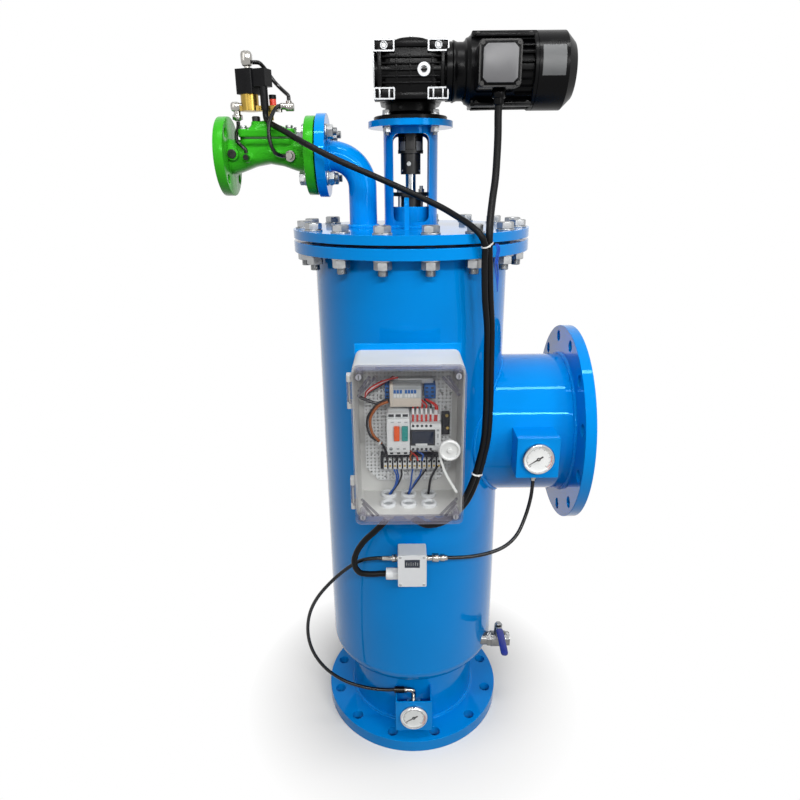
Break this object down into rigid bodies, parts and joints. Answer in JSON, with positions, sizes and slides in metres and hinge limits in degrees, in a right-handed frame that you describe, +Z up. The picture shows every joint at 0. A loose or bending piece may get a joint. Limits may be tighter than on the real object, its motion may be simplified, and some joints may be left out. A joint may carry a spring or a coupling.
{
  "type": "self cleaning filter",
  "caption": "Upright flanged screen filter whose geared motor turns a suction scanner, with a diaphragm flush valve, control box, pressure switch, gauges and a drain valve.",
  "frame": {"origin": "centre of the inlet flange's lower face, on the floor", "axes": "+Z up the vessel axis, +X to the outlet flange, -Y to the control box"},
  "size_m": [0.776, 0.657, 1.618],
  "materials": {
    "blue_enamel": "sky-blue gloss enamel",
    "rubber": "black rubber and packing",
    "zinc_steel": "zinc plated steel",
    "black_enamel": "black enamel on cast metal",
    "green_enamel": "green enamel on cast iron",
    "brass": "bare brass",
    "black_plastic": "black moulded plastic",
    "nickel": "nickel plated brass",
    "stainless": "stainless steel",
    "grey_plastic": "light grey moulded plastic",
    "galvanised": "galvanised perforated sheet",
    "terminal_plastic": "black plastic with white markers",
    "white_plastic": "white moulded plastic",
    "clear_lid": "clear smoked plastic",
    "hose": "black cable sheath and hose",
    "black_iron": "black cast iron",
    "bronze": "bronze gear rim",
    "rotor_steel": "laminated and turned steel",
    "lever_blue": "dark-blue dipped lever",
    "stop_orange": "orange plastic",
    "start_teal": "teal plastic",
    "knob_red": "red plastic with a black cap"
  },
  "bodies": {
    "vessel": {"inlet_flange": "blue_enamel", "inlet_neck": "blue_enamel", "bottom_head": "blue_enamel", "vessel_shell": "blue_enamel", "outlet_neck": "blue_enamel", "outlet_flange": "blue_enamel", "body_flange": "blue_enamel", "cover_plate": "blue_enamel", "seals": "rubber", "cover_bolts": "zinc_steel", "stuffing_box": "blue_enamel", "gland_follower": "zinc_steel", "lantern": "blue_enamel", "fasteners": "zinc_steel", "gearbox_housing": "black_enamel", "motor_frame": "black_enamel", "terminal_box": "black_enamel", "fan_cowl": "black_enamel", "flush_pipe": "blue_enamel", "flush_flange": "blue_enamel", "valve_body": "green_enamel", "valve_bonnet": "green_enamel", "valve_diaphragm": "rubber", "pilot_manifold": "brass", "pilot_coil": "black_plastic", "hose_fittings": "nickel", "screen_basket": "stainless", "box_bracket": "blue_enamel", "box_base": "grey_plastic", "box_backplate": "galvanised", "motor_starter": "grey_plastic", "control_relays": "grey_plastic", "terminal_strip": "terminal_plastic", "box_glands": "white_plastic", "pressure_switch": "grey_plastic", "gauge_brackets": "blue_enamel", "gauge_cases": "stainless", "drain_valve": "stainless", "pilot_tubes": "hose", "motor_cable": "hose", "solenoid_cable": "hose", "switch_cable": "hose", "outlet_hose": "hose", "inlet_hose": "hose"},
    "drive": {"main_shaft": "stainless", "coupling_hubs": "black_iron", "coupling_spider": "rubber", "worm_wheel": "bronze", "scanner": "stainless"},
    "motor_rotor": {"rotor": "rotor_steel", "cooling_fan": "black_plastic"},
    "lid": {"box_lid": "clear_lid", "lid_fittings": "white_plastic"},
    "drain_handle": {"drain_lever": "lever_blue"},
    "inlet_pointer": {"inlet_needle": "black_plastic"},
    "outlet_pointer": {"outlet_needle": "black_plastic"},
    "stop": {"stop_button": "stop_orange"},
    "start": {"start_button": "start_teal"},
    "override": {"pilot_knob": "knob_red"}
  },
  "joints": [
    {"name": "drive_spin", "type": "hinge", "parent": "vessel", "child": "drive", "pos_m": [0, 0, 1.38], "axis": [0, 0, 1], "continuous": true},
    {"name": "rotor_spin", "type": "hinge", "parent": "vessel", "child": "motor_rotor", "pos_m": [0.2, -0.063, 1.549], "axis": [1, 0, 0], "continuous": true},
    {"name": "lid_hinge", "type": "hinge", "parent": "vessel", "child": "lid", "pos_m": [-0.116, -0.365, 0.9], "axis": [0, 0, -1], "range_deg": [0, 110]},
    {"name": "drain_turn", "type": "hinge", "parent": "vessel", "child": "drain_handle", "pos_m": [0.21837, -0.105, 0.28], "axis": [0, 0, 1], "range_deg": [0, 90]},
    {"name": "inlet_pointer_turn", "type": "hinge", "parent": "vessel", "child": "inlet_pointer", "pos_m": [0, -0.2255, 0.103], "axis": [0, 1, 0], "range_deg": [0, 270], "stiffness_Nm_per_rad": 0.0004},
    {"name": "outlet_pointer_turn", "type": "hinge", "parent": "vessel", "child": "outlet_pointer", "pos_m": [0.262, -0.2255, 0.8], "axis": [0, 1, 0], "range_deg": [0, 270], "stiffness_Nm_per_rad": 0.0004},
    {"name": "stop_press", "type": "slide", "parent": "vessel", "child": "stop", "axis": [0, 1, 0], "range_m": [0, 0.003], "stiffness_N_per_m": 300},
    {"name": "start_press", "type": "slide", "parent": "vessel", "child": "start", "axis": [0, 1, 0], "range_m": [0, 0.003], "stiffness_N_per_m": 300},
    {"name": "override_turn", "type": "hinge", "parent": "vessel", "child": "override", "pos_m": [-0.283, 0, 1.505], "axis": [0, 0, 1], "range_deg": [0, 90]}
  ],
  "couplings": [
    {"joint": "rotor_spin", "follows": "drive_spin", "ratio": 36}
  ]
}
